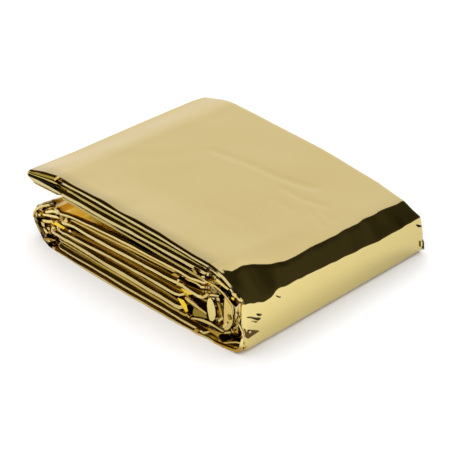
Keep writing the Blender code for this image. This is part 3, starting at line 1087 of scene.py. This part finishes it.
    def flank(self, start: np.ndarray, end: float, columns: int, crowding: float,
              full: float) -> np.ndarray:
        """One side of the sleeve, easing from its front edge's height to its full height.

        Args:
            start: The front edge's last point, as (y, height).
            end: Where the back edge begins.
            columns: How many steps lead there.
            crowding: How much closer together they are at the front.
            full: The height far behind the front edge.

        Returns:
            Points as rows of (y, height off the middle line), from the front.
        """
        y = start[0] + (end - start[0]) * (np.arange(1, columns) / columns) ** crowding
        ease = np.exp(-(y - start[0]) / self.edge_reach)
        return np.stack([y, full + (start[1] - full) * ease], 1)

    def tones(self, rows: Rows, row: np.ndarray, y: np.ndarray,
              shade: np.ndarray) -> np.ndarray:
        """The film's colour at points of the sleeve: painted shade along the front edges, at the heel and
        between layers, and painted light on the right end's wall and in the wedge under the flap.

        Args:
            rows: The strip's rows.
            row: Each point's row.
            y: Each point's place across the strip.
            shade: How far each point lies in the shade between two layers, 0 to 1.

        Returns:
            Linear colours, one row each.
        """
        x, z = rows.line[:, 0].T
        levels = np.clip(np.round(self.roll.level(z)).astype(int), 0, len(EDGES) - 1)
        # painted shade of each layer's front edge
        painted_edge_shade = np.array([EDGES[level].tone.colour if flat else Tone.BARE.colour
                          for level, flat in zip(levels, rows.lie_in(*STRAIGHT))])
        # painted shade at the heel, where the right end meets the floor
        heel = (rows.layer == 0) & (x > self.heel[0]) & (z < self.heel[1])
        # painted shade on the left end's outer pass
        painted_edge_shade[rows.lie_in(Region.LEFT_END, layers=(0,))] = Tone.OLIVE.colour
        painted_edge_shade[heel] = Tone.GOLD.colour
        # the painted shade eases in toward the front edges, within 2.5 mm of them at the heel
        near = np.clip(np.where(heel[row], 2.5 - y, (8.0 - y) / 4.0), 0.0, 1.0)[:, None]
        colours = Tone.BARE.colour * (1.0 - near) + painted_edge_shade[row] * near
        colours *= 1.0 - shade[:, None] * (1.0 - np.array((*self.gap_shade, 1.0)))
        # painted light across the right end's wall, brighter at the front, darker at the back
        wall = (rows.lie_in(Region.RIGHT_END, layers=(0,)) * ramp(x, *self.wall_start))[row]
        graded = np.interp(y, (0.0, self.roll.width), self.wall_light)
        colours[:, :3] *= (1.0 + wall * (graded - 1.0))[:, None]
        # painted reflection in the wedge under the flap, amber turning to olive painted shade further in
        under_flap = rows.lie_in(Region.UPPER, Region.LEFT_END, layers=(0,))
        caught_light = ((under_flap * ramp(x, *self.wedge_start))[row] * ramp(y, 0.8, 1.8))[:, None]
        deeper = ramp(x, *self.wedge_depth)[row][:, None]
        amber = Tone.AMBER.colour * (1.0 - deeper) + Tone.OLIVE.colour * deeper
        return colours * (1.0 - caught_light) + amber * caught_light

    def inner_row(self, count: int) -> np.ndarray:
        """Some of the plies inside the sleeve at any row, folded to and fro from the back edge.

        Args:
            count: The number of plies.

        Returns:
            Points as rows of (y, height off the middle line).
        """
        near, far = self.inner_inset, self.roll.width - self.inner_inset
        across = far + (near - far) * np.array(self.inner_shares)
        heights = np.linspace(self.inner_half, 0.03, count)
        return np.concatenate([
            np.stack([across[::-1] if place % 2 else across, np.full(len(across), height)], 1)
            for place, height in enumerate(heights)])

    def place(self, rows: Rows, edge: dict[str, np.ndarray], row: np.ndarray, y: np.ndarray,
              off: np.ndarray) -> np.ndarray:
        """Where points of the strip lie in the settled packet, in the roll's millimetres.

        Args:
            rows: The strip's rows.
            edge: The shape of its front edge.
            row: Each point's row.
            y: Each point's place across the strip.
            off: Each point's height off the strip's middle line.

        Returns:
            The points.
        """
        last = len(self.roll.backs) - 1
        back = np.clip(y / self.roll.width, 0.0, 1.0) * last
        low = np.minimum(back.astype(int), last - 1)
        part = (back - low)[:, None]
        line = rows.line[row, low] * (1.0 - part) + rows.line[row, low + 1] * part
        normal = rows.normal[row, low] * (1.0 - part) + rows.normal[row, low + 1] * part
        flat = line + normal * off[:, None]
        points = self.roll.settle(flat[:, 0], y, flat[:, 1], line[:, 1])
        points[:, 2] += edge["rise"][row] * (1.0 - smooth(ramp(y, 2.0, 2.0 + self.rise_reach)))
        return points

    @staticmethod
    def zipper(first: list[int], first_at: np.ndarray, second: list[int],
               second_at: np.ndarray) -> list[tuple[int, ...]]:
        """Faces between two rows of points that may differ in number.

        Args:
            first: The first row's vertices.
            first_at: Their places along the row, rising from 0 to 1.
            second: The second row's vertices.
            second_at: Their places.

        Returns:
            Quads where the rows match, and triangles where they don't.
        """
        if len(first) == len(second):
            return [(first[i], first[i + 1], second[i + 1], second[i])
                    for i in range(len(first) - 1)]
        faces, i, j = [], 0, 0
        while i < len(first) - 1 or j < len(second) - 1:
            if j == len(second) - 1 or (
                    i < len(first) - 1 and first_at[i + 1] <= second_at[j + 1]):
                faces.append((first[i], first[i + 1], second[j]))
                i += 1
            else:
                faces.append((first[i], second[j + 1], second[j]))
                j += 1
        return faces

    def build(self) -> bpy.types.Object:
        """Make the film's mesh: the sleeve, then the plies inside it, then the crushed ends.

        Returns:
            The film as one open sheet, in the CAD's frame.
        """
        rows = self.rows()
        edge = self.edge_shape(rows)
        last = len(rows.layer) - 1
        sections = [self.sleeve_row(row, rows, edge) for row in range(last + 1)]
        counts = [len(section) for section in sections]
        starts = np.concatenate([[0], np.cumsum(counts)])
        row = np.repeat(np.arange(last + 1), counts)
        flat = np.concatenate(sections)
        vertices = [self.place(rows, edge, row, flat[:, 0], flat[:, 1])]
        colours = [self.tones(rows, row, flat[:, 0], flat[:, 2])]
        faces: list[tuple[int, ...]] = []
        spans = [distances(section[:, :2]) for section in sections]
        for place in range(last):
            first, second = [list(range(starts[at], starts[at + 1])) for at in (place, place + 1)]
            faces += self.zipper(first, spans[place] / spans[place][-1],
                                 second, spans[place + 1] / spans[place + 1][-1])

        inner_rows = np.unique(np.append(np.arange(0, last + 1, self.inner_row_step), last))
        total = len(flat)
        upper_plies = (self.plies - 1) // 2
        for side, seam, count in ((1, starts[:-1], upper_plies),
                                  (-1, starts[1:] - 1, self.plies - 2 - upper_plies)):
            inner = self.inner_row(count)
            across = len(inner)
            inner_row = np.repeat(inner_rows, across)
            tiled = np.tile(inner, (len(inner_rows), 1))
            room = self.shoulder_room * rows.lie_in(Region.RIGHT_END, layers=(0,))[inner_row]
            vertices.append(self.place(rows, edge, inner_row, tiled[:, 0],
                                       side * tiled[:, 1] - room))
            colours.append(np.tile(Tone.BARE.colour, (len(tiled), 1)))
            some_faces = []
            for place in range(len(inner_rows) - 1):
                for corner in range(total + place * across, total + (place + 1) * across - 1):
                    some_faces.append((corner, corner + across, corner + across + 1, corner + 1))
            inner_seam = range(total, total + len(tiled), across)
            some_faces += self.zipper(seam.tolist(), np.arange(last + 1) / last,
                                      list(inner_seam), inner_rows / last)
            faces += some_faces if side > 0 else [face[::-1] for face in some_faces]
            total += len(tiled)

        crushed, crushed_faces, crushed_colours = CrushedEnds(self.roll).build()
        faces += [tuple(total + corner for corner in face) for face in crushed_faces]
        points = np.concatenate([*vertices, crushed])
        points[:, 2] = np.maximum(points[:, 2], self.floor_gap)
        mesh = bpy.data.meshes.new("gold_film")
        mesh.from_pydata(((points - np.array(self.roll.origin)) * MM).tolist(), [], faces)
        mesh.update()
        # the film's colour, with its painted shade and painted reflections
        tone = mesh.attributes.new("tone", "FLOAT_COLOR", "POINT")
        tone.data.foreach_set("color", np.concatenate([*colours, crushed_colours]).ravel())
        mesh.polygons.foreach_set("use_smooth", [True] * len(mesh.polygons))
        film = bpy.data.objects.new("gold_film", mesh)
        bpy.context.scene.collection.objects.link(film)
        LOG.info("gold_film: %d rows, %d vertices, %d triangles", last + 1, len(points),
                 sum(len(face) - 2 for face in faces))
        return film


def named_material(name: str) -> tuple[bpy.types.Material, bpy.types.Node]:
    """Start a material.

    Args:
        name: Its name.

    Returns:
        The material and its shader.
    """
    material = bpy.data.materials.new(name)
    material.use_nodes = True
    return material, material.node_tree.nodes["Principled BSDF"]


@dataclass(frozen=True)
class GoldFilmFinish:
    """Polyester film, vacuum-coated with aluminium under a gold-tinted lacquer.

    To the eye it is a warm, pale mirror: white surroundings come back as pale gold, the dark
    studio ceiling nearly black, and light caught between layers turns orange and brown, partly in the
    render's own bounces and partly as painted reflection and painted shade in its colour.
    """

    roughness: float = 0.07

    def material(self) -> bpy.types.Material:
        """Build the film's material.

        Returns:
            The material, which reads its colour, painted shade and painted reflections included, from the
            mesh's "tone".
        """
        material, shader = named_material("gold_metallised_polyester")
        tone = add_node(material.node_tree, "ShaderNodeAttribute", {"attribute_name": "tone"})
        material.node_tree.links.new(tone.outputs["Color"], shader.inputs["Base Color"])
        shader.inputs["Metallic"].default_value = 1.0
        shader.inputs["Roughness"].default_value = self.roughness
        return material


@dataclass(frozen=True)
class FloorFinish:
    """Matt white photographer's board: an even pale ground that lights the film from below."""

    colour: str = "f8f8f8"
    roughness: float = 0.9

    def material(self) -> bpy.types.Material:
        """Build the board's material.

        Returns:
            The material.
        """
        material, shader = named_material("matt_white_board")
        shader.inputs["Base Color"].default_value = linear(self.colour)
        shader.inputs["Roughness"].default_value = self.roughness
        return material


@dataclass
class Studio:
    """A white board under a dark ceiling, with bright walls all round, and the camera.

    Each row of "wall_tops" is a share of the way round and how many degrees up the wall ends.
    The spans say between which heights, as sines, one colour turns into the next.
    """

    target: tuple[float, float, float] = (67.25, 45.25, 12.0)
    azimuth: float = 45.47
    elevation: float = 30.39
    distance: float = 560.0
    focal_widths: float = 3.2
    sensor: float = 36.0
    floor_size: float = 6.0
    floor_finish: FloorFinish = FloorFinish()
    wall_tops: tuple = ((0.0, 20.0), (0.145, 20.0), (0.165, 48.0), (0.40, 48.0), (0.44, 5.0),
                        (0.806, 5.0), (0.810, 62.0), (0.956, 62.0), (0.960, 20.0), (1.0, 20.0))
    wall_foot: tuple[float, float, float] = (1.06, 1.01, 1.08)
    wall_head: tuple[float, float, float] = (0.96, 0.915, 0.98)
    ceiling_edge: tuple[float, float, float] = (0.056, 0.050, 0.028)
    ceiling_middle: tuple[float, float, float] = (0.026, 0.023, 0.012)
    wall_span: tuple[float, float] = (0.3, 0.62)
    ceiling_span: tuple[float, float] = (0.45, 0.8)
    edge_span: tuple[float, float] = (-0.01, 0.01)
    sun_strength: float = 3.15
    sun_spread: float = 120.0

    def add_world(self) -> None:
        """Bright even walls and tall soft panels round the board, under a dark ceiling."""
        world = bpy.data.worlds.new("studio")
        bpy.context.scene.world = world
        world.use_nodes = True
        tree = world.node_tree
        tree.nodes.clear()
        place = add_node(tree, "ShaderNodeTexCoord")
        axes = add_node(tree, "ShaderNodeSeparateXYZ", inputs={0: place.outputs["Generated"]})
        turn = add_node(tree, "ShaderNodeMath", {"operation": "ARCTAN2"},
                        {0: axes.outputs["Y"], 1: axes.outputs["X"]})
        share = add_node(tree, "ShaderNodeMapRange", inputs={
            "Value": turn.outputs[0], "From Min": -math.pi, "From Max": math.pi})
        tops = add_node(tree, "ShaderNodeValToRGB", inputs={"Fac": share.outputs[0]})
        elements = tops.color_ramp.elements
        while len(elements) < len(self.wall_tops):
            elements.new(0.5)
        for element, (at, degrees) in zip(elements, self.wall_tops):
            element.position = at
            element.color = (*[math.sin(math.radians(degrees))] * 3, 1.0)
        above = add_node(tree, "ShaderNodeMath", {"operation": "SUBTRACT"},
                         {0: axes.outputs["Z"], 1: tops.outputs["Color"]})
        mixes = []
        for value, span, colours in (
                (axes.outputs["Z"], self.wall_span, (self.wall_foot, self.wall_head)),
                (axes.outputs["Z"], self.ceiling_span, (self.ceiling_edge, self.ceiling_middle)),
                (above.outputs[0], self.edge_span, None)):
            first, second = [(*colour, 1.0) for colour in colours] if colours else mixes
            share = add_node(tree, "ShaderNodeMapRange",
                             inputs={"Value": value, "From Min": span[0], "From Max": span[1]})
            mix = add_node(tree, "ShaderNodeMixRGB",
                           inputs={0: share.outputs[0], 1: first, 2: second})
            mixes.append(mix.outputs[0])
        shine = add_node(tree, "ShaderNodeBackground", inputs={"Color": mixes[-1]})
        add_node(tree, "ShaderNodeOutputWorld", inputs={"Surface": shine.outputs[0]})

    def add_sun(self) -> None:
        """A wide soft light from above that only the board shows."""
        light = bpy.data.lights.new("overhead", "SUN")
        light.energy = self.sun_strength
        light.angle = math.radians(self.sun_spread)
        lamp = bpy.data.objects.new("overhead", light)
        lamp.visible_glossy = False
        bpy.context.scene.collection.objects.link(lamp)

    def add_floor(self) -> None:
        """The board that the packet lies on."""
        bpy.ops.object.select_all(action="DESELECT")
        bpy.ops.mesh.primitive_plane_add(size=self.floor_size)
        floor = bpy.context.object
        floor.name = "floor"
        floor.data.materials.append(self.floor_finish.material())

    def add_camera(self, origin: tuple[float, float, float]) -> None:
        """The camera, placed as the photograph's corners give it.

        Args:
            origin: The CAD frame's origin in the roll's own millimetres.
        """
        azimuth, elevation = math.radians(self.azimuth), math.radians(self.elevation)
        away = Vector((math.sin(azimuth) * math.cos(elevation),
                       -math.cos(azimuth) * math.cos(elevation), math.sin(elevation)))
        right = Vector((math.cos(azimuth), math.sin(azimuth), 0.0))
        place = (Vector(self.target) - Vector(origin) + away * self.distance) * MM
        turn = Matrix((right, away.cross(right), away)).transposed().to_4x4()
        data = bpy.data.cameras.new("camera")
        data.sensor_width = self.sensor
        data.lens = self.focal_widths * self.sensor
        camera = bpy.data.objects.new("camera", data)
        camera.matrix_world = Matrix.Translation(place) @ turn
        bpy.context.scene.collection.objects.link(camera)
        bpy.context.scene.camera = camera

    def build(self, origin: tuple[float, float, float]) -> None:
        """Set the whole studio up round the packet.

        Args:
            origin: The CAD frame's origin in the roll's own millimetres.
        """
        self.add_world()
        self.add_sun()
        self.add_floor()
        self.add_camera(origin)
        bpy.context.scene.view_settings.view_transform = "Standard"
        LOG.info("studio: world, overhead light, board and camera")


def main() -> None:
    """Build the studio and the film, and say what the film stands for."""
    roll = Roll()
    Studio().build(roll.origin)
    film = FoldedFilm(roll)
    piece = film.build()
    piece.data.materials.append(GoldFilmFinish().material())
    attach(piece, "root")
    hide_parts(NODE)


if __name__ == "__main__":
    main()
